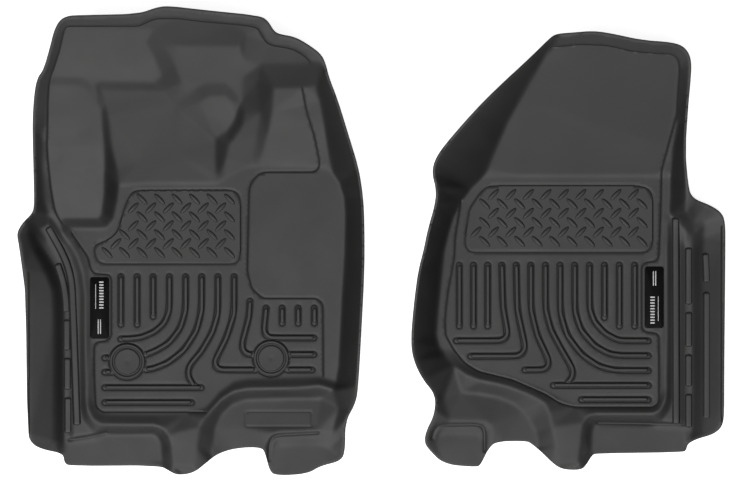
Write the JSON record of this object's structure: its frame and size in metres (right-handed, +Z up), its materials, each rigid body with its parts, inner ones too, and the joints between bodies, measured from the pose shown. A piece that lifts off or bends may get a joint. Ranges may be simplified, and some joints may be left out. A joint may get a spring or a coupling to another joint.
{
  "type": "floor mat set",
  "caption": "Moulded floor liners for a vehicle's driver and front passenger, with raised ribs, a tread pad, tall tunnel walls, stepped rear flanges and quarter-turn retainers.",
  "frame": {"origin": "middle of the whole set's bounding box, on the plane that the cleats and low flanges stand on", "axes": "+X to the vehicle's right, from the driver's liner to the passenger's; +Y to the vehicle's front; +Z up"},
  "size_m": [1.2362, 0.8174, 0.184],
  "materials": {
    "liner": "fine moulded grain, matt, lightly worn on raised edges",
    "retainer": "fine moulded grain, matt",
    "lock": "smooth black nylon",
    "badge": "smooth black plate with a plain pale bar"
  },
  "bodies": {
    "driver_mat": {"driver_liner": "liner", "driver_badge": "badge", "outer_bezel": "retainer", "outer_backing_ring": "lock", "inner_bezel": "retainer", "inner_backing_ring": "lock"},
    "outer_retainer_cap": {"outer_cap": "retainer", "outer_lock_plate": "lock"},
    "inner_retainer_cap": {"inner_cap": "retainer", "inner_lock_plate": "lock"},
    "passenger_mat": {"passenger_liner": "liner", "passenger_badge": "badge"}
  },
  "joints": [
    {"name": "outer_cap_turn", "type": "hinge", "parent": "driver_mat", "child": "outer_retainer_cap", "pos_m": [-0.4271, -0.2093, 0.012], "axis": [0, 0, 1], "range_deg": [0, 90]},
    {"name": "inner_cap_turn", "type": "hinge", "parent": "driver_mat", "child": "inner_retainer_cap", "pos_m": [-0.1754, -0.2036, 0.012], "axis": [0, 0, 1], "range_deg": [0, 90]},
    {"name": "passenger_lift", "type": "slide", "parent": "driver_mat", "child": "passenger_mat", "axis": [0, 0, 1], "range_m": [0, 0.35]}
  ]
}
